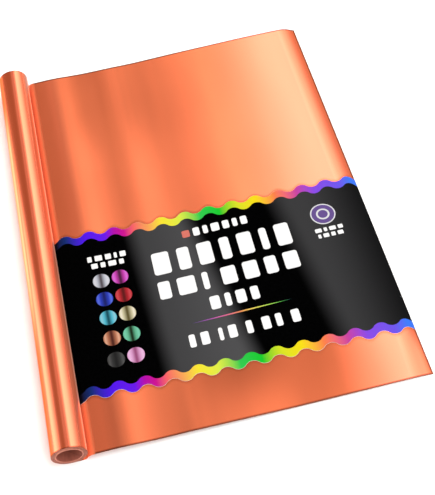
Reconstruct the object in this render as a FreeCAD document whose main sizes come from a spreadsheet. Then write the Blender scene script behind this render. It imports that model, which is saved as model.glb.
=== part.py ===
"""A 26 inch roll of copper foil paper, partly unrolled on a table, with its printed wrap label.

Frame, in millimetres: the origin is the centre of the core's bore, +Y runs along the roll,
+X points the way the paper is pulled off and +Z is up, so the table lies at -roll_radius.
The paper (the web) is one strip, split where it moves: the turns wound on the core, the live
outermost turn that keeps its place as paper runs through it, the flat payout strip that grows
behind the roll, and the unrolled sheet.
"""

import FreeCAD
import Part
import Sketcher
import math
import os
from FreeCAD import Placement, Rotation, Vector

OUT_DIR = "parts"
Y_DIRECTION = Vector(0, 1, 0)

# Driving dimensions: alias, value in millimetres or degrees, what it is
DRIVING_DIMENSIONS = [
    ("web_width", 660.4, "width of the paper, 26 inches"),
    ("roll_radius", 22.5, "outside radius of the roll on the table"),
    ("web_thickness", 0.3, "paper with foil on both faces"),
    ("foil_thickness", 0.06, "each copper foil layer"),
    ("core_bore_radius", 15.875, "half of a 1 1/4 inch core"),
    ("liner_wall", 0.5, "innermost board ply of the core"),
    ("body_ply_wall", 0.6, "middle board ply of the core"),
    ("cover_ply_wall", 0.5, "outermost board ply of the core"),
    ("core_overhang", 0.5, "how far the core stands out of the web at each end"),
    ("tape_thickness", 0.1, "tape that holds the start of the web"),
    ("tape_angle", 30, "arc of the core that the tape covers"),
    ("tape_margin", 25, "bare core beyond each end of the tape"),
    ("winding_start", 17.58, "inside radius of the first turn"),
    ("turn_gap", 0.03, "air between two turns"),
    ("turn_count", 13, "full turns under the live turn"),
    ("nip_angle", 10, "open arc of the live turn beside the contact line"),
    ("strip_reach", 6, "flat strip that the live turn carries in front of the contact line"),
    ("rise_start", 13.5, "where the payout strip ends and the sheet lifts off the table"),
    ("rise_angle", 60, "steepest slope of the lift"),
    ("rise_low_radius", 7, "hollow bend at the foot of the lift"),
    ("rise_high_radius", 10, "rounded bend at the top of the lift"),
    ("arch_climb", 1.0, "upward slope where the long arch begins"),
    ("arch_fall", 1.8, "downward slope where the long arch ends"),
    ("arch_end", 440, "distance from the roll's axis to the end of the arch"),
    ("curl_radius", 73, "bend that brings the free edge down to the table"),
    ("label_thickness", 0.15, "printed wrap label"),
    ("label_middle", 250, "distance from the roll's axis to the middle of the label"),
    ("label_near", -258.5, "mean line of the label's near edge at the label's middle"),
    ("label_far", 2.8, "mean line of the label's far edge at the label's middle"),
    ("label_near_slant", -0.02, "rise of the near edge's mean line for each mm of x"),
    ("label_far_slant", -0.012, "rise of the far edge's mean line for each mm of x"),
    ("wave_length", 34.8, "pitch of the label's wavy edges"),
    ("wave_height", 7.6, "crest to trough of the wavy edges"),
    ("wave_crest_near", 39.2, "distance from the roll's axis to the near edge's first crest"),
    ("wave_crest_far", 37.2, "distance from the roll's axis to the far edge's first crest"),
]


def make_sizes(doc):
    """The spreadsheet that drives every size."""
    sizes = doc.addObject("Spreadsheet::Sheet", "Sizes")
    for row, (alias, value, meaning) in enumerate(DRIVING_DIMENSIONS, start=1):
        sizes.set(f"A{row}", alias)
        sizes.set(f"B{row}", str(value))
        sizes.set(f"C{row}", meaning)
        sizes.setAlias(f"B{row}", alias)
    doc.recompute()
    return sizes


# ---------- round pieces from sketches and primitives ----------


def make_ply(doc, name, inner, wall):
    """One board ply of the core: a tube padded both ways from its cross-section."""
    body = doc.addObject("PartDesign::Body", name)
    body.Label = name
    sketch = body.newObject("Sketcher::SketchObject", f"{name}_section")
    plane = next(f for f in body.Origin.OriginFeatures if f.Role == "XZ_Plane")
    sketch.AttachmentSupport = [(plane, "")]
    sketch.MapMode = "FlatFace"
    radii = {"inner_radius": inner, "outer_radius": f"{inner} + {wall}"}
    for index, (constraint, expression) in enumerate(radii.items()):
        sketch.addGeometry(Part.Circle(Vector(0, 0, 0), Vector(0, 0, 1), 1 + index), False)
        sketch.addConstraint(Sketcher.Constraint("Coincident", index, 3, -1, 1))
        radius = sketch.addConstraint(Sketcher.Constraint("Radius", index, 1.0 + index))
        sketch.renameConstraint(radius, constraint)
        sketch.setExpression(f"Constraints.{constraint}", expression)
    pad = body.newObject("PartDesign::Pad", f"{name}_pad")
    pad.Profile = sketch
    pad.Midplane = True
    pad.setExpression("Length", "Sizes.web_width + 2 * Sizes.core_overhang")
    return body


def make_rod(doc, name, radius, length, start_y, arc="360", turn="0"):
    """A cylinder, or a slice of one, along +Y. A slice runs arc degrees on from turn degrees,
    both counted from +X towards -Z."""
    rod = doc.addObject("Part::Cylinder", name)
    rod.setExpression("Radius", radius)
    rod.setExpression("Height", length)
    rod.setExpression("Angle", arc)
    along_y = Rotation(Vector(1, 0, 0), -90)
    slice_start = Rotation(Vector(0, 0, 1), rod.evalExpression(turn))
    rod.Placement = Placement(Vector(0, 0, 0), along_y * slice_start)
    rod.setExpression("Placement.Base.y", start_y)
    return rod


def make_cut(doc, name, base, tool):
    cut = doc.addObject("Part::Cut", name)
    cut.Base = base
    cut.Tool = tool
    cut.Label = name
    return cut


def make_tape(doc):
    """The strip of tape that holds the start of the web on the core."""
    core = "Sizes.core_bore_radius + Sizes.liner_wall + Sizes.body_ply_wall + Sizes.cover_ply_wall"
    length = "Sizes.web_width - 2 * Sizes.tape_margin"
    start = "-Sizes.web_width / 2 + Sizes.tape_margin"
    arc = "Sizes.tape_angle"
    outside = make_rod(doc, "tape_outside", f"{core} + Sizes.tape_thickness", length, start, arc)
    inside = make_rod(doc, "tape_inside", core, length, start, arc)
    return make_cut(doc, "web_start_tape", outside, inside)


def make_flat_strip(doc, name, start_x, end_x):
    """A full-width strip of paper that lies on the table from start_x to end_x."""
    strip = doc.addObject("Part::Box", name)
    strip.setExpression("Length", f"{end_x} - {start_x}")
    strip.setExpression("Width", "Sizes.web_width")
    strip.setExpression("Height", "Sizes.web_thickness")
    strip.setExpression("Placement.Base.x", start_x)
    strip.setExpression("Placement.Base.y", "-Sizes.web_width / 2")
    strip.setExpression("Placement.Base.z", "-Sizes.roll_radius")
    return strip


def make_live_turn(doc):
    """The outermost turn: a ring left open at the nip, and the flat strip it hands to the table."""
    width = "Sizes.web_width"
    start = "-Sizes.web_width / 2"
    radius = "Sizes.roll_radius"
    outside = make_rod(doc, "live_outside", radius, width, start)
    inside = make_rod(doc, "live_inside", f"{radius} - Sizes.web_thickness", width, start)
    ring = make_cut(doc, "live_ring", outside, inside)
    nip = make_rod(doc, "nip_slice", f"2 * {radius}", width, start, "Sizes.nip_angle", "90 - Sizes.nip_angle")
    open_ring = make_cut(doc, "live_open_ring", ring, nip)
    strip = make_flat_strip(doc, "live_strip", "0", "Sizes.strip_reach")
    turn = doc.addObject("Part::Fuse", "web_live_turn")
    turn.Base = open_ring
    turn.Tool = strip
    turn.Label = "web_live_turn"
    return turn


# ---------- the paths of the bent paper ----------


def normal(heading):
    """The direction to the left of a heading in the X-Z plane."""
    return Vector(-math.sin(heading), 0, math.cos(heading))


def advance(point, heading, radius, turn):
    """Point and heading at the end of a tangent arc; a positive turn bends to the left."""
    side = math.copysign(radius, turn)
    centre = point + normal(heading) * side
    return centre - normal(heading + turn) * side, heading + turn


def walk(point, heading, arcs):
    """For each (radius, turn) arc in a tangent chain, its (point, heading) at start, middle and end."""
    steps = []
    for radius, turn in arcs:
        stations = [advance(point, heading, radius, turn * share) for share in (0.0, 0.5, 1.0)]
        steps.append(stations)
        point, heading = stations[-1]
    return steps


def trace(steps, offset):
    """The arcs that run beside the walked steps at an offset to their left."""
    edges = []
    for stations in steps:
        points = [point + normal(heading) * offset for point, heading in stations]
        edges.append(Part.Arc(*points).toShape())
    return edges


def close_band(lower, upper):
    """The face between two rows of edges that run the same way."""
    start = Part.LineSegment(upper[0].firstVertex().Point, lower[0].firstVertex().Point).toShape()
    end = Part.LineSegment(lower[-1].lastVertex().Point, upper[-1].lastVertex().Point).toShape()
    return Part.Face(Part.Wire(Part.__sortEdges__(lower + [end] + upper + [start])))


def extrude_profile(doc, name, face, start, length):
    """A named solid made from a face in the X-Z plane, along +Y from start."""
    profile = doc.addObject("Part::Feature", f"{name}_profile")
    profile.Shape = face
    profile.setExpression("Placement.Base.y", start)
    solid = doc.addObject("Part::Extrusion", name)
    solid.Base = profile
    solid.DirMode = "Custom"
    solid.Dir = Y_DIRECTION
    solid.setExpression("LengthFwd", length)
    solid.Solid = True
    solid.Label = name
    return solid


def wound_face(sizes):
    """The cross-section of the wound turns: a spiral strip of half circles about two centres."""
    half_pitch = (sizes.web_thickness + sizes.turn_gap) / 2
    turn_to_nip = Rotation(Y_DIRECTION, 90 - sizes.nip_angle)
    rows = []
    for offset in (0.0, sizes.web_thickness):
        edges = []
        for half in range(2 * int(sizes.turn_count)):
            side = 1 if half % 2 == 0 else -1
            centre = Vector(0 if side > 0 else half_pitch, 0, 0)
            radius = sizes.winding_start + half * half_pitch + offset
            points = [
                centre + Vector(side * radius, 0, 0),
                centre + Vector(0, 0, side * radius),
                centre - Vector(side * radius, 0, 0),
            ]
            edges.append(Part.Arc(*[turn_to_nip.multVec(p) for p in points]).toShape())
        rows.append(edges)
    return close_band(*rows)


def sheet_steps(sizes):
    """The underside of the unrolled sheet: a lift off the table, a long arch and a curl down."""
    rise = math.radians(sizes.rise_angle)
    climb = math.radians(sizes.arch_climb)
    fall = math.radians(sizes.arch_fall)
    start = Vector(sizes.rise_start, 0, -sizes.roll_radius)
    arcs = [
        (sizes.rise_low_radius, rise),
        (sizes.rise_high_radius, climb - rise),
    ]
    arch_start = walk(start, 0, arcs)[-1][-1][0]
    arch_radius = (sizes.arch_end - arch_start.x) / (math.sin(climb) + math.sin(fall))
    arcs.append((arch_radius, -climb - fall))
    arch_end = walk(start, 0, arcs)[-1][-1][0]
    drop = arch_end.z + sizes.roll_radius
    edge_slope = math.acos(math.cos(fall) - drop / sizes.curl_radius)
    arcs.append((sizes.curl_radius, fall - edge_slope))
    return walk(start, 0, arcs)


def wavy_edge(sizes, middle_y, slant, crest, left, right):
    """A wavy line of equal arcs about a slightly slanted mean line. It has a crest at x = crest and
    runs past x = left and x = right."""
    chord = sizes.wave_length / 2
    first_crest = crest - math.ceil((crest - left) / sizes.wave_length) * sizes.wave_length
    half_waves = 2 * math.ceil((right - first_crest) / sizes.wave_length) + 1
    edges = []

    def point(x, offset):
        return Vector(x, middle_y + slant * (x - sizes.label_middle) + offset, 0)

    for index in range(half_waves):
        x = first_crest + (index - 0.5) * chord
        peak = sizes.wave_height / 2 * (1 if index % 2 == 0 else -1)
        points = [point(x, 0), point(x + chord / 2, peak), point(x + chord, 0)]
        edges.append(Part.Arc(*points).toShape())
    return edges


def make_label(doc, sizes, steps):
    """The printed label: a layer on the sheet, trimmed to two wavy edges."""
    lower = trace(steps, sizes.web_thickness)
    upper = trace(steps, sizes.web_thickness + sizes.label_thickness)
    blank = extrude_profile(
        doc,
        "label_blank",
        close_band(lower, upper),
        "Sizes.label_near - 2 * Sizes.wave_height",
        "Sizes.label_far - Sizes.label_near + 4 * Sizes.wave_height",
    )
    left = steps[0][0][0].x
    right = steps[-1][-1][0].x
    near = wavy_edge(
        sizes, sizes.label_near, sizes.label_near_slant, sizes.wave_crest_near, left, right
    )
    far = wavy_edge(
        sizes, sizes.label_far, sizes.label_far_slant, sizes.wave_crest_far, left, right
    )
    outline = doc.addObject("Part::Feature", "label_outline")
    outline.Shape = close_band(near, far)
    outline.setExpression("Placement.Base.z", "-Sizes.roll_radius")
    cutter = doc.addObject("Part::Extrusion", "label_cutter")
    cutter.Base = outline
    cutter.DirMode = "Custom"
    cutter.Dir = Vector(0, 0, 1)
    cutter.setExpression("LengthFwd", "Sizes.roll_radius")
    cutter.Solid = True
    label = doc.addObject("Part::Common", "label_band")
    label.Base = blank
    label.Tool = cutter
    label.Label = "label_band"
    return label


# ---------- the whole object ----------


def make_core(doc):
    """Three board plies, one inside the next."""
    bore = "Sizes.core_bore_radius"
    return [
        make_ply(doc, "core_liner_ply", bore, "Sizes.liner_wall"),
        make_ply(doc, "core_body_ply", f"{bore} + Sizes.liner_wall", "Sizes.body_ply_wall"),
        make_ply(
            doc,
            "core_cover_ply",
            f"{bore} + Sizes.liner_wall + Sizes.body_ply_wall",
            "Sizes.cover_ply_wall",
        ),
    ]


def make_sheet(doc, sizes, steps):
    """The three layers of the unrolled sheet: foil, paper and foil."""
    foil = sizes.foil_thickness
    layers = {
        "sheet_foil_underside": (0, foil),
        "sheet_paper": (foil, sizes.web_thickness - foil),
        "sheet_foil_face": (sizes.web_thickness - foil, sizes.web_thickness),
    }
    return [
        extrude_profile(
            doc,
            name,
            close_band(trace(steps, low), trace(steps, high)),
            "-Sizes.web_width / 2",
            "Sizes.web_width",
        )
        for name, (low, high) in layers.items()
    ]


def make_wound_turns(doc, sizes):
    return extrude_profile(
        doc, "web_wound_turns", wound_face(sizes), "-Sizes.web_width / 2", "Sizes.web_width"
    )


def check(doc, pieces):
    """Stops with a message if an object failed or a piece isn't a sound solid."""
    for item in doc.Objects:
        if "Invalid" in item.State or "Error" in item.State:
            raise RuntimeError(f"{item.Name} failed: {item.State}")
    for piece in pieces:
        if piece.Shape.isNull() or not piece.Shape.isValid() or not piece.Shape.Solids:
            raise RuntimeError(f"{piece.Label} isn't a valid solid")


def main():
    doc = FreeCAD.newDocument("foil_paper_roll")
    sizes = make_sizes(doc)
    steps = sheet_steps(sizes)
    pieces = make_core(doc)
    pieces.append(make_tape(doc))
    pieces.append(make_wound_turns(doc, sizes))
    pieces.append(make_live_turn(doc))
    pieces.append(make_flat_strip(doc, "web_payout_strip", "Sizes.strip_reach", "Sizes.rise_start"))
    pieces.extend(make_sheet(doc, sizes, steps))
    pieces.append(make_label(doc, sizes, steps))
    doc.recompute()
    check(doc, pieces)
    os.makedirs(OUT_DIR, exist_ok=True)
    for piece in pieces:
        piece.Shape.exportStep(os.path.join(OUT_DIR, f"{piece.Label}.step"))
        box = piece.Shape.BoundBox
        print(
            f"{piece.Label}: {len(piece.Shape.Solids)} solid, {piece.Shape.Volume:.0f} mm3, "
            f"x {box.XMin:.2f}..{box.XMax:.2f} y {box.YMin:.1f}..{box.YMax:.1f} "
            f"z {box.ZMin:.2f}..{box.ZMax:.2f}"
        )


main()
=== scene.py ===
"""The visual model of a partly unrolled roll of copper foil paper.

Lengths are in mm until a mesh is made. Inside a material, places are in metres, as the shader reads them.
"""

import bmesh
import bpy
import math
import numpy as np
from mathutils import Matrix, Vector


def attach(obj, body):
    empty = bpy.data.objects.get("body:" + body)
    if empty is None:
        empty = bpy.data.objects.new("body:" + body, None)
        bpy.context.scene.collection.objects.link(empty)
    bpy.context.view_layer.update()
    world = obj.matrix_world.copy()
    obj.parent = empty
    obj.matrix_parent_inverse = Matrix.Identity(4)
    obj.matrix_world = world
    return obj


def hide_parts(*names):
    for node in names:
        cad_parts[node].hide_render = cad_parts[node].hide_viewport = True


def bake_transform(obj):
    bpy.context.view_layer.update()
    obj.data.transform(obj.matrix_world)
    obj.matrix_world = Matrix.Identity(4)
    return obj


MM = 0.001

# The roll and the paper, which has foil on both faces
ROLL_RADIUS = 22.5
TABLE_Z = -ROLL_RADIUS
HALF_WIDTH = 330.2
WEB = 0.3
FOIL = 0.06
NIP_ANGLE = -80.0
STRIP_REACH = 6.0
BULGE = 0.7

# The unrolled sheet, by distance from the roll's axis
RISE_START = 13.5
CURL_START = 436.0
FREE_EDGE = 466.0
DROOP = 0.78

# The wrap label. Its wavy edges swing about two mean lines, given by their place at the label's middle
# and their slant
LABEL = 0.15
LABEL_MIDDLE = 250.0
LABEL_NEAR = -258.5
LABEL_FAR = 2.8
NEAR_SLANT = -0.020
FAR_SLANT = -0.012
WAVE_LENGTH = 34.8
WAVE_HEIGHT = 3.8
NEAR_CREST = 39.2
FAR_CREST = 37.2
BORDER = 12.8
BORDER_INSET_NEAR = 0.26
BORDER_INSET_FAR = 0.12
INK = 0.08

# The reflectance that just looks white under the studio light
STUDIO_WHITE = 0.55

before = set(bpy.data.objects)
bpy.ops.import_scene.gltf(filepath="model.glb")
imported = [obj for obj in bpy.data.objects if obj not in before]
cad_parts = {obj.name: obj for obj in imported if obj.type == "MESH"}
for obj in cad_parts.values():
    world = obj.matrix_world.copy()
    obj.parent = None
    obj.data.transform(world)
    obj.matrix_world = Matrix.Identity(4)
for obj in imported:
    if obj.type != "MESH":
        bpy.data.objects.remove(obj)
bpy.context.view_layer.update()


# ---------- paths in the X-Z plane: rows of x, z and the unit normal to the left ----------


def sheet_slopes():
    """Knots of the unrolled sheet: x and slope in degrees. The slope's sine runs straight between knots,
    so each span is an arc. The long arch has soft waves in it, as loosely lying foil does."""
    return [
        (RISE_START, 0), (19.56, 60), (28.05, 1.5), (46, 1.2), (58, 0), (70, -3.6), (80, -4.3), (90, -4.0),
        (100, -2.8), (112, -1.5), (130, 0.3), (142, 0.2), (150, -0.2), (160, -1.2), (172, -1.1), (184, -0.4),
        (200, 1), (225, 1.8), (250, 1.4), (275, 1.0), (300, 0.5), (335, 1.0), (355, 0.9), (380, 0.3),
        (400, -0.2), (420, -0.4), (436, 0.2), (442, -5), (450, -16), (458, -28),
    ]


def sheet_path():
    """The sheet's underside, from the foot of the rise to the free edge, which curls down to the table."""
    knots = sheet_slopes()
    fine_rise = np.arange(RISE_START, 32, 0.4)
    middle = np.arange(32, CURL_START, 1.25)
    x = np.concatenate([fine_rise, middle, np.linspace(CURL_START, FREE_EDGE, 31)])
    knot_x = [k[0] for k in knots] + [FREE_EDGE]
    knot_sine = [math.sin(math.radians(k[1])) for k in knots] + [0]

    def climb(end_slope):
        knot_sine[-1] = math.sin(end_slope)
        sine = np.interp(x, knot_x, knot_sine)
        tangent = sine / np.sqrt(1 - sine**2)
        rise = np.concatenate([[0], np.cumsum((tangent[1:] + tangent[:-1]) / 2 * np.diff(x))])
        return sine, rise

    steep, level = -1.2, 0.0
    for _ in range(40):
        middle_slope = (steep + level) / 2
        sine, rise = climb(middle_slope)
        if rise[-1] > 0:
            level = middle_slope
        else:
            steep = middle_slope
    return np.column_stack([x, TABLE_Z + rise, -sine, np.sqrt(1 - sine**2)])


def arc_path(start, end, radius_at, count):
    """A path round the roll's axis from start to end degrees; radius_at gives the radius at each angle."""
    degrees = np.linspace(start, end, count)
    angle = np.radians(degrees)
    radius = np.array([radius_at(d) for d in degrees])
    return np.column_stack(
        [radius * np.cos(angle), radius * np.sin(angle), -np.cos(angle), -np.sin(angle)]
    )


def flat_path(start, end, count):
    """A straight path on the table."""
    x = np.linspace(start, end, count)
    return np.column_stack([x, np.full(count, TABLE_Z), np.zeros(count), np.ones(count)])


SHEET = sheet_path()


def ease(value, low, high):
    """Smooth step from 0 to 1 as value goes from low to high."""
    share = np.clip((value - low) / (high - low), 0, 1)
    return share * share * (3 - 2 * share)


def ripple(x, y):
    """What the sheet's height adds as it varies along the roll: small waves and a drooping near edge."""
    height = np.interp(x, SHEET[:, 0], SHEET[:, 1]) - TABLE_Z
    droop = DROOP * height * ease(x, 150, 300) * ease(y, -245, -HALF_WIDTH)
    waves = 0.20 * np.sin(y / 70 + x / 95) + 0.12 * np.sin(y / 43 - x / 60 + 1.3)
    return ease(x, 45, 105) * ease(x, 440, 380) * waves - droop


def on_sheet(x, y, lift):
    """A point at a height above the sheet's underside."""
    z = np.interp(x, SHEET[:, 0], SHEET[:, 1])
    nx = np.interp(x, SHEET[:, 0], SHEET[:, 2])
    nz = np.interp(x, SHEET[:, 0], SHEET[:, 3])
    return Vector((x + nx * lift, y, z + nz * lift + ripple(x, y)))


# ---------- meshes ----------


def add_object(name, mesh, material):
    """An object that shows a mesh in one material."""
    mesh.materials.append(material)
    obj = bpy.data.objects.new(name, mesh)
    bpy.context.scene.collection.objects.link(obj)
    return obj


def make_object(name, vertices, faces, material):
    """A smooth-shaded mesh object from vertices in mm, sharp where faces meet at over 40 degrees."""
    mesh = bpy.data.meshes.new(name)
    mesh.from_pydata([Vector(v) * MM for v in vertices], [], faces)
    mesh.validate()
    mesh.update()
    mesh.polygons.foreach_set("use_smooth", [True] * len(mesh.polygons))
    mesh.set_sharp_from_angle(angle=math.radians(40))
    return add_object(name, mesh, material)


def slab(name, path, rows, low, high, material, uneven=None, closed=False):
    """A closed layer that follows a path, between two lifts. rows(i) gives the y values at station i.
    A lift is one number, or a number for each station."""
    vertices = []
    for lifts in (low, high):
        for i, ((x, z, nx, nz), lift) in enumerate(zip(path, np.broadcast_to(lifts, len(path)))):
            for y in rows(i):
                extra = uneven(x, y) if uneven else 0
                vertices.append((x + nx * lift, y, z + nz * lift + extra))
    stations = len(path)
    across = len(rows(0))
    layer = stations * across
    faces = []
    last = stations if closed else stations - 1
    for i in range(last):
        a, b = i * across, (i + 1) % stations * across
        for j in range(across - 1):
            faces.append((a + j, a + j + 1, b + j + 1, b + j))
            faces.append((layer + a + j, layer + b + j, layer + b + j + 1, layer + a + j + 1))
        for j, flip in ((0, False), (across - 1, True)):
            side = (a + j, b + j, layer + b + j, layer + a + j)
            faces.append(side[::-1] if flip else side)
    if not closed:
        for i, flip in ((0, True), (stations - 1, False)):
            for j in range(across - 1):
                k = i * across + j
                end = (k, k + 1, layer + k + 1, layer + k)
                faces.append(end[::-1] if flip else end)
    return make_object(name, vertices, faces, material)


def even_rows(low, high, count):
    """Evenly spaced y values, the same at every station."""
    values = np.linspace(low, high, count)
    return lambda i: values


def decal(name, outlines, low, high, material):
    """Flat shapes laid on the sheet as thin closed solids, cut every 4 mm so that they follow its bends."""
    step = 4.0
    bm = bmesh.new()
    for outline in outlines:
        bm.faces.new([bm.verts.new((x, y, 0)) for x, y in outline])
    left = min(v.co.x for v in bm.verts)
    right = max(v.co.x for v in bm.verts)
    for cut in np.arange(math.ceil(left / step) * step, right, step):
        geometry = bm.verts[:] + bm.edges[:] + bm.faces[:]
        bmesh.ops.bisect_plane(bm, geom=geometry, plane_co=(cut, 0, 0), plane_no=(1, 0, 0))
    result = bmesh.ops.extrude_face_region(bm, geom=bm.faces[:])
    raised = {v for v in result["geom"] if isinstance(v, bmesh.types.BMVert)}
    for vertex in bm.verts:
        lift = high if vertex in raised else low
        vertex.co = on_sheet(vertex.co.x, vertex.co.y, lift) * MM
    bmesh.ops.recalc_face_normals(bm, faces=bm.faces[:])
    mesh = bpy.data.meshes.new(name)
    bm.to_mesh(mesh)
    bm.free()
    return add_object(name, mesh, material)


# ---------- flat outlines ----------


def disc(cx, cy, radius):
    """A circle of 48 corners."""
    count = 48
    turns = [2 * math.pi * k / count for k in range(count)]
    return [(cx + radius * math.cos(t), cy + radius * math.sin(t)) for t in turns]


def block(left, right, low, high, corner):
    """A rectangle with round corners."""
    corner = min(corner, (right - left) / 2, (high - low) / 2)
    outline = []
    centres = [
        (right - corner, high - corner, 0), (left + corner, high - corner, 90),
        (left + corner, low + corner, 180), (right - corner, low + corner, 270),
    ]
    for cx, cy, start in centres:
        for step in range(5):
            t = math.radians(start + 22.5 * step)
            outline.append((cx + corner * math.cos(t), cy + corner * math.sin(t)))
    return outline


def block_row(left, right, low, high, widths, gap, corner):
    """A row of plain blocks in place of lettering. A negative width is a word space."""
    room = right - left - gap * (sum(w > 0 for w in widths) - 1)
    unit = room / sum(abs(w) for w in widths)
    shapes = []
    x = left
    for width in widths:
        if width > 0:
            shapes.append(block(x, x + width * unit, low, high, corner))
            x += gap
        x += abs(width) * unit
    return shapes


def wave(x, crest):
    """The wavy edge's distance from its mean line: equal arcs, crest and trough by turns."""
    chord = WAVE_LENGTH / 2
    radius = (chord**2 / 4 + WAVE_HEIGHT**2) / (2 * WAVE_HEIGHT)
    place = (x - crest) / chord + 0.5
    index = math.floor(place)
    from_middle = (place - index - 0.5) * chord
    height = math.sqrt(radius**2 - from_middle**2) - (radius - WAVE_HEIGHT)
    return height if index % 2 == 0 else -height


def near_edge(x):
    """The y of the label's wavy edge towards the near end."""
    return LABEL_NEAR + NEAR_SLANT * (x - LABEL_MIDDLE) + wave(x, NEAR_CREST)


def far_edge(x):
    """The y of the label's wavy edge towards the far end."""
    return LABEL_FAR + FAR_SLANT * (x - LABEL_MIDDLE) + wave(x, FAR_CREST)


# ---------- materials ----------


class Nodes:
    """A material's or world's node tree with short helpers."""

    def __init__(self, owner):
        owner.use_nodes = True
        self.tree = owner.node_tree
        self.tree.nodes.clear()

    def add(self, kind, inputs=None, **settings):
        node = self.tree.nodes.new(kind)
        for key, value in settings.items():
            setattr(node, key, value)
        for key, value in (inputs or {}).items():
            self.feed(node.inputs[key], value)
        return node

    def feed(self, socket, value):
        if isinstance(value, bpy.types.NodeSocket):
            self.tree.links.new(value, socket)
        else:
            socket.default_value = value

    def math(self, operation, *values, clamp=False):
        node = self.add("ShaderNodeMath", operation=operation, use_clamp=clamp)
        for socket, value in zip(node.inputs, values):
            self.feed(socket, value)
        return node.outputs[0]

    def span(self, value, low, high, start=0.0, end=1.0):
        """Smooth step from start to end as value goes from low to high."""
        inputs = {"Value": value, "From Min": low, "From Max": high, "To Min": start, "To Max": end}
        return self.add("ShaderNodeMapRange", inputs, interpolation_type="SMOOTHSTEP").outputs[0]

    def mix(self, share, first, second):
        node = self.add("ShaderNodeMix", data_type="RGBA")
        self.feed(node.inputs[0], share)
        self.feed(node.inputs[6], first)
        self.feed(node.inputs[7], second)
        return node.outputs[2]

    def ramp(self, value, stops, interpolation="LINEAR"):
        """Colour from (position, colour) stops with positions from 0 to 1."""
        node = self.add("ShaderNodeValToRGB", {"Fac": value})
        node.color_ramp.interpolation = interpolation
        elements = node.color_ramp.elements
        while len(elements) < len(stops):
            elements.new(1.0)
        for element, (position, colour) in zip(elements, stops):
            element.position = position
            element.color = colour if len(colour) == 4 else (*colour, 1)
        return node.outputs[0]

    def curve(self, value, points):
        """A level from 0 to 1 that runs straight between (value, level) points."""
        low, high = points[0][0], points[-1][0]
        share = self.math("DIVIDE", self.math("SUBTRACT", value, low), high - low, clamp=True)
        return self.ramp(share, [((at - low) / (high - low), (level,) * 3) for at, level in points])

    def noise(self, vector, scale, detail=2.0, stretch=(1, 1, 1)):
        """Noise from 0 to 1, with about as many blobs to the metre as scale says."""
        stretched = self.add("ShaderNodeMapping", {"Vector": vector, "Scale": stretch}).outputs[0]
        inputs = {"Vector": stretched, "Scale": scale, "Detail": detail}
        return self.add("ShaderNodeTexNoise", inputs).outputs[0]

    def place(self):
        """The point in the row frame and its separate x, y and z, in metres."""
        point = self.add("ShaderNodeTexCoord").outputs["Object"]
        split = self.add("ShaderNodeSeparateXYZ", {"Vector": point})
        return point, split.outputs[0], split.outputs[1], split.outputs[2]

    def surface(self, inputs):
        shader = self.add("ShaderNodeBsdfPrincipled", inputs)
        output = self.add("ShaderNodeOutputMaterial")
        self.tree.links.new(shader.outputs[0], output.inputs[0])
        return shader


def linear(code):
    """Linear colour from an sRGB hex code."""
    values = [int(code[i : i + 2], 16) / 255 for i in (0, 2, 4)]
    return tuple(v / 12.92 if v <= 0.04045 else ((v + 0.055) / 1.055) ** 2.4 for v in values) + (1,)


def scaled(colour, factor):
    """A darker or lighter version of a colour."""
    return tuple(c * factor for c in colour[:3]) + (1,)


def printed(code):
    """A printed colour's reflectance, from how it looks in the bright studio."""
    return scaled(linear(code), STUDIO_WHITE)


def foil_material(name, finish):
    """Satin copper foil. finish(n, x, y, z, copper) gives the local colour, painted light and shade included,
    and the share of a plainer foil that mirrors less and takes painted shade."""
    material = bpy.data.materials.new(name)
    n = Nodes(material)
    point, x, y, z = n.place()
    cloud = n.noise(point, 9.0, 3.0, (1, 0.35, 1))
    copper = n.mix(n.span(cloud, 0.3, 0.7), (0.87, 0.195, 0.084, 1), (0.91, 0.214, 0.093, 1))
    copper, satin_and_shade = finish(n, x, y, z, copper)
    n.surface(
        {
            "Base Color": copper,
            "Metallic": n.math("SUBTRACT", 1.0, n.math("MULTIPLY", satin_and_shade, 0.75)),
            "Roughness": n.span(cloud, 0.3, 0.7, 0.17, 0.22),
            "Specular Tint": (0.90, 0.50, 0.35, 1),
        }
    )
    return material


def sheet_finish(n, x, y, _, copper):
    """Painted lighter by the roll and with a paler highlight tint towards the free edge; painted shade in
    broad patches, on the curl, along the cut edges and beside the label; plainer foil, painted darker, in the
    fold by the roll.
    """
    # Painted light: the sheet is painted lighter beside the roll.
    copper = n.mix(n.span(x, 0.050, 0.072), (1.0, 0.237, 0.121, 1), copper)
    # Painted highlight: a paler, bluer copper where the bright reflection lies towards the free edge.
    copper = n.mix(n.span(x, 0.29, 0.42), copper, (0.94, 0.212, 0.122, 1))
    # Painted shade: broad darker patches along the near edge and towards the far edge.
    copper = n.mix(painted_shade_patches(n, x, y), copper, (0.40, 0.088, 0.035, 1))
    copper = n.mix(curl_shade(n, x), copper, (0.40, 0.088, 0.040, 1))
    # Painted shade: a dark line along the sheet's cut edges.
    copper = n.mix(painted_edge_shade(n, x, y), copper, (0.10, 0.02, 0.01, 1))
    copper = n.mix(label_shade(n, x, y), copper, (0.30, 0.06, 0.02, 1))
    satin_and_shade = n.span(x, 0.0285, 0.0310, 1.0, 0.0)
    # Painted shade: the fold by the roll darkens towards the sheet, where the foil is also plainer.
    fold = n.mix(n.span(x, 0.0205, 0.0300), (0.90, 0.20, 0.085, 1), (0.56, 0.123, 0.052, 1))
    return n.mix(satin_and_shade, copper, fold), satin_and_shade


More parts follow.
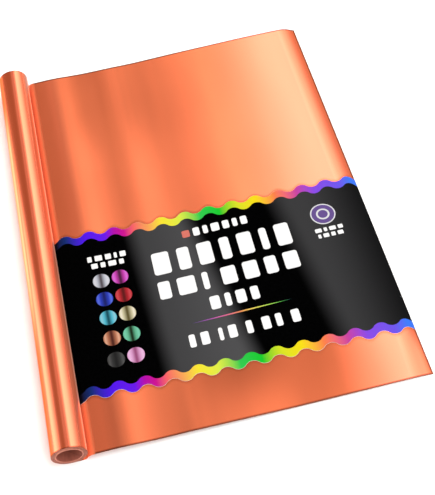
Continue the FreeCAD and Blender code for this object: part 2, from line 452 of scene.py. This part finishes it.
def roll_finish(n, x, y, z, copper):
    """Painted highlights on top, high on the left and along the right silhouette; plainer foil with painted
    shade beside the sheet and near the table.
    """
    # Painted highlight: a bluer copper on top, where the bright reflection lies.
    copper = n.mix(n.span(z, 0.0080, 0.0180), copper, (0.90, 0.196, 0.102, 1))
    lean = n.math("DEGREES", n.math("ARCTAN2", x, z))
    # Painted highlight: a pale band high on the left side, in the middle stretch of the roll.
    painted_flank_highlight = n.math("MULTIPLY", n.span(lean, -41, -53), n.span(lean, -104, -88))
    middle = n.math("MULTIPLY", n.span(y, -0.210, -0.030), n.span(y, 0.280, 0.170))
    copper = n.mix(n.math("MULTIPLY", painted_flank_highlight, middle), copper, (0.97, 0.68, 0.38, 1))
    # Painted shade beside the sheet and near the table, where the foil is also plainer.
    satin_and_shade = n.math("MAXIMUM", n.span(x, 0.0150, 0.0215), n.span(z, -0.0120, -0.0180))
    shaded = n.mix(n.span(y, 0.020, 0.200), (0.38, 0.095, 0.048, 1), (0.30, 0.074, 0.037, 1))
    # Painted highlight: a thin pale line along the right silhouette.
    shaded = n.mix(n.span(lean, 70, 80), shaded, (0.70, 0.30, 0.20, 1))
    return dark_rim(n, y, n.mix(satin_and_shade, copper, shaded)), satin_and_shade


def strip_finish(n, x, y, _, copper):
    """Plainer foil with painted shade in the fold beside the sheet."""
    satin_and_shade = n.span(x, 0.0, STRIP_REACH * MM)
    return dark_rim(n, y, n.mix(satin_and_shade, copper, (0.50, 0.13, 0.065, 1))), satin_and_shade


def from_sides(n, y):
    """Distance from the nearer cut side of the web."""
    return n.math("SUBTRACT", HALF_WIDTH * MM, n.math("ABSOLUTE", y))


def dark_rim(n, y, copper):
    """The colour, with painted shade along the web's cut sides."""
    rim = n.span(from_sides(n, y), 0.0004, 0.0018, 0.6, 0.0)
    return n.mix(rim, copper, (0.16, 0.04, 0.02, 1))


def painted_edge_shade(n, x, y):
    """Share of the painted shade line along the sheet's cut edges."""
    from_end = n.math("SUBTRACT", FREE_EDGE * MM, x)
    from_edge = n.math("MINIMUM", from_sides(n, y), from_end)
    return n.span(from_edge, 0.0008, 0.0034, 0.85, 0.0)


def label_shade(n, x, y):
    """Share of the thin shadow beside the label's wavy edges."""

    def edge(middle_y, slant, crest):
        phase = n.math("MULTIPLY", n.math("SUBTRACT", x, crest * MM), 2 * math.pi / (WAVE_LENGTH * MM))
        swing = n.math("MULTIPLY", n.math("COSINE", phase), WAVE_HEIGHT * MM)
        from_middle = n.math("SUBTRACT", x, LABEL_MIDDLE * MM)
        line = n.math("ADD", n.math("MULTIPLY", from_middle, slant), middle_y * MM)
        return n.math("ADD", line, swing)

    below = n.math("SUBTRACT", edge(LABEL_NEAR, NEAR_SLANT, NEAR_CREST), y)
    above = n.math("SUBTRACT", y, edge(LABEL_FAR, FAR_SLANT, FAR_CREST))
    return n.span(n.math("MAXIMUM", below, above), 0.0, 0.006, 0.45, 0.0)


def painted_shade_patches(n, x, y):
    """Share of the broad painted shade patches: along the drooping near edge, and towards the far edge."""
    near = [
        (0.045, 0.0), (0.060, 0.42), (0.071, 0.55), (0.085, 0.18), (0.130, 0.10), (0.165, 0.72),
        (0.185, 0.77), (0.200, 0.67), (0.250, 0.85), (0.300, 0.92), (0.325, 1.0), (0.350, 0.98),
        (0.375, 0.72), (0.400, 0.50), (0.438, 0.0),
    ]
    far = [
        (0.055, 0.0), (0.090, 0.66), (0.100, 0.62), (0.150, 0.0), (0.165, 0.35), (0.180, 0.40),
        (0.220, 0.06), (0.310, 0.16), (0.440, 0.0),
    ]
    near_patch = n.math("MULTIPLY", n.curve(x, near), n.span(y, -0.262, -0.215, 1.0, 0.0))
    far_patch = n.math("MULTIPLY", n.curve(x, far), n.span(y, 0.115, 0.250))
    return n.math("MAXIMUM", near_patch, far_patch)


def curl_shade(n, x):
    """Share of the dark side of the curl at the free edge."""
    shade = [(0.437, 0.0), (0.445, 0.45), (0.452, 0.64), (0.458, 0.64), (0.462, 0.90), (0.466, 1.0)]
    return n.curve(x, shade)


def edge_paper_material(name, light, dark, line_pitch):
    """Cut ends of wound paper: fine rings of lighter and darker layers."""
    material = bpy.data.materials.new(name)
    n = Nodes(material)
    point, x, _, z = n.place()
    radius = n.math("SQRT", n.math("ADD", n.math("MULTIPLY", x, x), n.math("MULTIPLY", z, z)))
    wobble = n.math("MULTIPLY", n.noise(point, 60.0), 0.0004)
    rings = n.math("SINE", n.math("MULTIPLY", n.math("ADD", radius, wobble), 2 * math.pi / line_pitch))
    grain = n.noise(point, 700.0, 3.0)
    tone = n.math("ADD", n.math("MULTIPLY", rings, 0.3), grain)
    colour = n.mix(n.span(tone, 0.2, 0.9), dark, light)
    bump = n.add("ShaderNodeBump", {"Height": grain, "Strength": 0.3, "Distance": 0.0002})
    n.surface({"Base Color": colour, "Roughness": 0.6, "Metallic": 0.25, "Normal": bump.outputs[0]})
    return material


def board_material(name, light, dark):
    """Spiral-wound core board with a seam that winds along the tube."""
    material = bpy.data.materials.new(name)
    n = Nodes(material)
    point, x, y, z = n.place()
    turn = n.math("DIVIDE", n.math("ARCTAN2", z, x), 2 * math.pi)
    along = n.math("ADD", n.math("DIVIDE", y, 0.075), turn)
    seam = n.math("ABSOLUTE", n.math("SUBTRACT", n.math("FRACT", along), 0.5))
    fibre = n.noise(point, 350.0, 4.0, (1, 0.3, 1))
    colour = n.mix(n.span(fibre, 0.3, 0.7), dark, light)
    colour = n.mix(n.span(seam, 0.0, 0.02, 0.3, 0.0), colour, scaled(dark, 0.5))
    bump = n.add("ShaderNodeBump", {"Height": fibre, "Strength": 0.4, "Distance": 0.0003})
    n.surface({"Base Color": colour, "Roughness": 0.8, "Normal": bump.outputs[0]})
    return material


def paper_material(name, colour):
    """Plain matte paper with a fine fibre."""
    material = bpy.data.materials.new(name)
    n = Nodes(material)
    point = n.place()[0]
    fibre = n.noise(point, 500.0, 4.0)
    shade = n.mix(n.span(fibre, 0.3, 0.7), scaled(colour, 0.9), colour)
    n.surface({"Base Color": shade, "Roughness": 0.7})
    return material


def ink_material(name, colour, gloss=0.4, specular=0.05):
    """Flat printing ink with a faint mottle."""
    material = bpy.data.materials.new(name)
    n = Nodes(material)
    point = n.place()[0]
    mottle = n.noise(point, 250.0, 3.0)
    shade = n.mix(n.span(mottle, 0.3, 0.7), scaled(colour, 0.96), colour)
    n.surface({"Base Color": shade, "Roughness": gloss, "Specular IOR Level": specular})
    return material


def field_material():
    """The label's black field, with two wide grey sheens painted into its colour as reflections, slanting
    across it.
    """
    material = bpy.data.materials.new("ink_black_field")
    n = Nodes(material)
    point, x, y, _ = n.place()
    from_far = n.math("ADD", y, 0.014)

    def slanted(lean):
        return n.math("ADD", x, n.math("MULTIPLY", from_far, lean))

    enter = n.span(slanted(0.055), 0.116, 0.147)
    leave = n.span(slanted(0.176), 0.196, 0.230, 1.0, 0.0)
    first = n.math("MULTIPLY", n.math("MULTIPLY", enter, leave), n.span(x, 0.13, 0.25, 0.65, 1.0))
    rise = n.span(slanted(0.13), 0.322, 0.364, 0.0, 0.56)
    second = n.math("MULTIPLY", rise, n.span(x, 0.375, 0.475, 1.0, 0.15))
    # Painted reflection: the sheens lie in the base colour, as the field has no specular reflection.
    sheen = n.math("MAXIMUM", first, second)
    mottle = n.noise(point, 300.0, 3.0)
    dark = n.mix(n.span(mottle, 0.3, 0.7), (0.0003, 0.0003, 0.0003, 1), (0.0007, 0.0007, 0.0008, 1))
    colour = n.mix(sheen, dark, (0.046, 0.046, 0.048, 1))
    n.surface({"Base Color": colour, "Roughness": 0.6, "Specular IOR Level": 0.0})
    return material


def spectrum_material(name, stops, left, right):
    """Ink that changes colour along the label."""
    material = bpy.data.materials.new(name)
    n = Nodes(material)
    x = n.place()[1]
    share = n.math("DIVIDE", n.math("SUBTRACT", x, left * MM), (right - left) * MM, clamp=True)
    colour = n.ramp(share, [((at - left) / (right - left), printed(code)) for at, code in stops])
    n.surface({"Base Color": colour, "Roughness": 0.4, "Specular IOR Level": 0.05})
    return material


def chip_material(name, middle, dark, light, centre_x):
    """A metallic colour chip: a dark streak through the centre and a lighter glint on each side of it."""
    material = bpy.data.materials.new(name)
    n = Nodes(material)
    point, x, _, _ = n.place()
    off = n.math("ABSOLUTE", n.math("SUBTRACT", x, centre_x * MM))
    share = n.math("DIVIDE", off, CHIP_RADIUS * MM, clamp=True)
    stops = [(0.0, dark), (0.07, dark), (0.46, middle), (0.76, light), (1.0, middle)]
    colour = n.ramp(share, [(at, printed(code)) for at, code in stops])
    mottle = n.noise(point, 400.0)
    rough = n.span(mottle, 0.3, 0.7, 0.35, 0.42)
    n.surface({"Base Color": colour, "Roughness": rough, "Specular IOR Level": 0.1})
    return material


# ---------- pieces ----------


def place_piece(obj, body, slot, *nodes):
    """Ride a piece on a body and hide the CAD nodes it stands for. The slot is not used."""
    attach(obj, body)
    if nodes:
        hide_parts(*nodes)


def build_sheet(foil, paper):
    """The sheet's three layers."""
    rows = even_rows(-HALF_WIDTH, HALF_WIDTH, 67)
    layers = [
        ("foil_underside", 0, FOIL, foil, "foil", "sheet_foil_underside"),
        ("paper_middle", FOIL, WEB - FOIL, paper, "backing_paper", "sheet_paper"),
        ("foil_face", WEB - FOIL, WEB, foil, "foil", "sheet_foil_face"),
    ]
    for name, low, high, material, slot, node in layers:
        layer = slab(name, SHEET, rows, low, high, material, ripple)
        place_piece(layer, "sheet", slot, node)


def build_payout(foil):
    """The flat strip that stretches between the sheet and the roll."""
    path = flat_path(STRIP_REACH, RISE_START, 24)
    strip = slab("payout_strip", path, even_rows(-HALF_WIDTH, HALF_WIDTH, 12), 0, WEB, foil)
    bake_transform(strip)
    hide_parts("web_payout_strip")


def build_live_turn(foil):
    """The roll's outermost turn. It bulges a little on the upper side towards the sheet."""
    ring = arc_path(NIP_ANGLE, 270, lambda d: ROLL_RADIUS, 260)
    path = np.vstack([ring, flat_path(0, STRIP_REACH, 4)[1:]])
    lean = 90 - np.degrees(np.arctan2(path[:, 1], path[:, 0]))
    bulge = BULGE * ease(lean, 3, 24) * ease(lean, 98, 28)
    turn = slab("live_turn_web", path, even_rows(-HALF_WIDTH, HALF_WIDTH, 23), -bulge, WEB, foil)
    place_piece(turn, "live_turn", "foil", "web_live_turn")


def build_wound_turns(material):
    """A spiral of thin turns whose cut ends stand a little in and out."""
    turns, inner, outer = 24, 17.6, 22.17
    thickness = 0.15
    pitch = (outer - thickness - inner) / turns
    stations = 72

    def radius_at(degrees):
        return inner + thickness + pitch * (degrees - NIP_ANGLE) / 360

    path = arc_path(NIP_ANGLE, NIP_ANGLE + 360 * turns, radius_at, stations * turns + 1)

    def rows(i):
        turn = i / stations
        jut = 0.22 * math.sin(turn * 2.1) + 0.12 * math.sin(turn * 5.3 + 1) + 0.06 * math.sin(turn * 17)
        end = HALF_WIDTH - 0.1 - jut
        return [-end, end]

    wound = slab("wound_turns", path, rows, 0, thickness, material)
    place_piece(wound, "roll", "wound_web", "web_wound_turns")


def build_core(shaded_bore, board):
    """Three plies; each one's end stands at a slightly different place."""
    plies = [
        ("core_liner", 15.875, 16.375, 0.5, shaded_bore, "core_liner_ply"),
        ("core_body", 16.375, 16.975, 0.35, board, "core_body_ply"),
        ("core_cover", 16.975, 17.475, 0.45, board, "core_cover_ply"),
    ]
    for name, inner, outer, proud, material, node in plies:
        ring = arc_path(0, 357.5, lambda d: outer, 144)
        end = HALF_WIDTH + proud
        ply = slab(name, ring, even_rows(-end, end, 2), 0, outer - inner, material, closed=True)
        place_piece(ply, "roll", "core_board", node)


# Colours along the rainbow borders, by distance from the roll's axis
RAINBOW = [
    (24, "101020"), (38, "103080"), (54, "4020d8"), (66, "5410f8"), (94, "6810f0"), (107, "b400b0"),
    (122, "d00890"), (136, "fa6468"), (157, "faa858"), (178, "fae830"), (204, "e0f048"), (232, "30cc50"),
    (262, "08cc28"), (288, "d8e420"), (316, "fae008"), (345, "fc8048"), (360, "f06a78"), (376, "c840a0"),
    (402, "8848e8"), (440, "6c54f0"), (458, "3878f8"),
]


def build_label(materials):
    """The label's stock, its black field and the two rainbow borders."""
    path = SHEET[SHEET[:, 0] >= RISE_START]
    near = [near_edge(x) for x in path[:, 0]]
    far = [far_edge(x) for x in path[:, 0]]

    def band(name, low_edge, high_edge, count, low, high, material):
        def rows(i):
            return np.linspace(low_edge(i), high_edge(i), count)

        return slab(name, path, rows, low, high, material, ripple)

    top = WEB + LABEL
    stock = band("label_stock", lambda i: near[i], lambda i: far[i], 28, WEB, top, materials["stock"])
    place_piece(stock, "sheet", "label", "label_band")
    field = band(
        "label_black_field",
        lambda i: near[i] + BORDER - 1,
        lambda i: far[i] - BORDER + 1,
        26,
        top,
        top + INK / 2,
        materials["field"],
    )
    place_piece(field, "sheet", "label")
    near_border = band(
        "border_near", lambda i: near[i] + BORDER_INSET_NEAR, lambda i: near[i] + BORDER, 3, top, top + INK,
        materials["rainbow"],
    )
    far_border = band(
        "border_far", lambda i: far[i] - BORDER, lambda i: far[i] - BORDER_INSET_FAR, 3, top, top + INK,
        materials["rainbow"],
    )
    place_piece(near_border, "sheet", "label")
    place_piece(far_border, "sheet", "label")


# Colour chips: for each row and column the main, dark and light shades
CHIPS = [
    [("c0c4d0", "585058", "e0e0e8"), ("c838b0", "501040", "e070e0")],
    [("2038c0", "001068", "5870e8"), ("b81c28", "600404", "d04850")],
    [("50c0d8", "005060", "90d0e0"), ("c8c098", "605428", "f8f0d8")],
    [("b87050", "501c0c", "e8b090"), ("60b890", "082808", "78d0b0")],
    [("303030", "101010", "505050"), ("e0a0d0", "a05080", "f0c0e8")],
]
CHIP_COLUMNS = (76.7, 103.3)
CHIP_ROWS = (-79.5, -110.2, -140.8, -173.6, -206.8)
CHIP_RADIUS = 11.6
# Colours along the thin rule
RULE = [
    (184, "6850b0"), (208, "b85cc0"), (230, "e86c9c"), (250, "f08c5c"), (266, "f0d060"), (290, "b0e058"),
    (308, "58c050"), (322, "205070"),
]
RULE_Y = -178.6
RULE_HALF_HEIGHT = 1.0


# Rows of plain blocks in place of lettering: left, right, low, high, widths, gap and corner radius
BLOCK_ROWS = {
    "blocks_caption": [
        (63, 117.5, -45.2, -36, [3, 5, 4, 2, 4], 4.2, 1.2),
        (67, 113, -57.4, -48.8, [4, 3, 5, 3], 4.2, 1.2),
    ],
    "blocks_maker_row": [(217, 296, -39.4, -25.2, [4, 3, 5, 4, 3, 4], 5, 2.2)],
    "blocks_heading_1": [(151, 349, -91, -53.5, [7, 5, 6, 4, 6, 3, 6], 11.5, 4)],
    "blocks_heading_2": [(151, 349, -131.6, -103, [4, 6, 2, -2, 5, 5, 4, 5], 10, 3.5)],
    "blocks_heading_3": [(215, 282.6, -165.6, -144.6, [5, 3, 5, 4], 7, 3)],
    "blocks_size_row": [(175.3, 326, -214.6, -195, [3, 4, -2, 2, 4, -2, 3, -2, 4, 3, -2, 4], 7.5, 2.5)],
    "blocks_badge": [
        (383, 423, -84.6, -78, [4, 2, 4, 3], 3.2, 1.2),
        (385, 421, -94.6, -88, [2, 4, 3, 4], 3.2, 1.2),
    ],
}
BADGE_CENTRE = (401.9, -54.5)
BADGE_RADII = {"badge_rim": 18, "badge_ring": 16.2, "badge_inner_rim": 9.6, "badge_centre": 7.0}


def build_artwork(white):
    """Everything printed on the black field. Each of the badge's discs stands a little over the last."""
    base = WEB + LABEL + INK / 4
    top = WEB + LABEL + 0.10

    def ink(name, outlines, material, high=top):
        place_piece(decal(name, outlines, base, high, material), "sheet", "label")

    for name, rows in BLOCK_ROWS.items():
        ink(name, [shape for row in rows for shape in block_row(*row)], white)
    coral = ink_material("ink_coral", printed("e07a6c"))
    ink("block_coral", [block(201, 212, -38.4, -26.2, 2.2)], coral)

    pale = ink_material("ink_pale", printed("e8e8ec"))
    violet = ink_material("ink_violet", printed("6a5294"))
    for order, (name, radius) in enumerate(BADGE_RADII.items()):
        material = violet if order % 2 else pale
        ink(name, [disc(*BADGE_CENTRE, radius)], material, top + INK / 2 * order)

    for row, (codes, y) in enumerate(zip(CHIPS, CHIP_ROWS), start=1):
        for column, (shades, x) in enumerate(zip(codes, CHIP_COLUMNS), start=1):
            material = chip_material(f"chip_ink_{row}_{column}", *shades, x)
            ink(f"colour_chip_{row}_{column}", [disc(x, y + column - 1, CHIP_RADIUS)], material)

    left, right = RULE[0][0], RULE[-1][0]
    rule = spectrum_material("ink_rule", RULE, left, right)
    stations = 36
    along = np.linspace(left, right, stations)
    swell = RULE_HALF_HEIGHT * np.sin(np.linspace(0, math.pi, stations))
    upper = list(zip(along, RULE_Y + swell))
    lower = list(zip(along, RULE_Y - swell))
    ink("spectrum_rule", [lower[1:-1] + upper[::-1]], rule)


def build_all():
    """Every piece of the object with its material."""
    foil_sheet = foil_material("copper_foil_sheet", sheet_finish)
    foil_roll = foil_material("copper_foil_roll", roll_finish)
    foil_strip = foil_material("copper_foil_strip", strip_finish)
    backing = paper_material("backing_paper", (0.75, 0.55, 0.42, 1))
    wound = edge_paper_material("wound_paper", (0.50, 0.19, 0.125, 1), (0.33, 0.105, 0.07, 1), 0.0009)
    # Painted shade: the bore's board is darker, for the shade inside the hole.
    shaded_bore = board_material("core_bore_board_shaded", (0.30, 0.078, 0.046, 1), (0.24, 0.060, 0.036, 1))
    board = board_material("core_board", (0.52, 0.20, 0.135, 1), (0.42, 0.15, 0.10, 1))
    tape = ink_material("core_tape", (0.75, 0.66, 0.45, 1), 0.25, 0.5)
    label = {
        "stock": paper_material("label_paper", (0.56, 0.55, 0.54, 1)),
        "field": field_material(),
        "rainbow": spectrum_material("ink_rainbow", RAINBOW, 24, 458),
    }
    build_sheet(foil_sheet, backing)
    build_payout(foil_strip)
    build_live_turn(foil_roll)
    build_wound_turns(wound)
    build_core(shaded_bore, board)
    build_label(label)
    build_artwork(ink_material("ink_white", (0.59, 0.59, 0.59, 1)))
    tape_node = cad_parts["web_start_tape"]
    tape_node.data.materials.clear()
    tape_node.data.materials.append(tape)


# ---------- studio ----------


def build_floor():
    """A plain pale floor just under the table plane."""
    size = 6.0
    z = (TABLE_Z - 0.05) * MM
    mesh = bpy.data.meshes.new("studio_floor")
    corners = [(-size, -size, z), (size, -size, z), (size, size, z), (-size, size, z)]
    mesh.from_pydata(corners, [], [(0, 1, 2, 3)])
    material = bpy.data.materials.new("studio_floor")
    n = Nodes(material)
    point = n.place()[0]
    grain = n.noise(point, 40.0)
    colour = n.mix(n.span(grain, 0.3, 0.7), (0.85, 0.85, 0.85, 1), (0.87, 0.87, 0.87, 1))
    n.surface({"Base Color": colour, "Roughness": 0.9, "Specular IOR Level": 0.1})
    add_object("studio_floor", mesh, material)


def build_world():
    """A soft studio: a dim warm top, a strip light on the left and a wide soft light on the right. Each
    light is a brightness by lean angle in degrees from straight up. The left one stands further aside
    towards the far end."""
    world = bpy.data.worlds.new("studio")
    bpy.context.scene.world = world
    n = Nodes(world)
    direction = n.add("ShaderNodeTexCoord").outputs["Generated"]
    split = n.add("ShaderNodeSeparateXYZ", {"Vector": direction})
    lean = n.math("DEGREES", n.math("ARCTAN2", split.outputs[0], split.outputs[2]))
    right = [
        (-90, 0.45), (-14, 0.45), (-8, 0.49), (-4, 0.62), (2, 0.98), (4, 1.18), (8, 1.9), (12, 2.88),
        (14, 3.3), (18, 3.45), (44, 3.1), (52, 2.7), (60, 2.1), (80, 1.0), (90, 0.7),
    ]
    left = [(-110, 3.6), (-70, 3.6), (-54, 2.2), (-42, 1.1), (-32, 0.5), (-18, 0.45)]
    shift = [(0.53, 0.0), (0.60, 0.12), (0.66, 0.30), (0.72, 0.55)]
    aside = n.math("MULTIPLY", n.curve(split.outputs[1], shift), 100.0)
    peak = 3.6
    lamps = [
        n.curve(angle, [(at, level / peak) for at, level in levels])
        for angle, levels in ((lean, right), (n.math("ADD", lean, aside), left))
    ]
    brightness = n.math("MULTIPLY", n.math("MAXIMUM", *lamps), peak)
    camera_ray = n.add("ShaderNodeLightPath").outputs["Is Camera Ray"]
    strength = n.math("ADD", n.math("MULTIPLY", camera_ray, n.math("SUBTRACT", 0.97, brightness)), brightness)
    clear = n.math("MAXIMUM", camera_ray, n.span(brightness, 0.45, 0.80))
    tint = n.mix(clear, (1.0, 0.80, 0.56, 1), (1, 1, 1, 1))
    background = n.add("ShaderNodeBackground", {"Color": tint, "Strength": strength})
    output = n.add("ShaderNodeOutputWorld")
    n.tree.links.new(background.outputs[0], output.inputs[0])


def build_camera():
    """A long lens high over the near side, turned a little towards the sheet."""
    data = bpy.data.cameras.new("camera")
    data.sensor_width = 36
    data.lens = 70.402
    data.clip_start = 0.05
    data.clip_end = 50
    camera = bpy.data.objects.new("camera", data)
    turn = Matrix.Rotation(math.radians(-6.665), 4, "Z")
    tilt = Matrix.Rotation(math.radians(35.224), 4, "X")
    roll = Matrix.Rotation(math.radians(-7.682), 4, "Z")
    camera.matrix_world = Matrix.Translation((0.153884, -0.84609, 1.093941)) @ turn @ tilt @ roll
    bpy.context.scene.collection.objects.link(camera)
    bpy.context.scene.camera = camera


build_all()
build_floor()
build_world()
build_camera()
bpy.context.scene.view_settings.view_transform = "Standard"
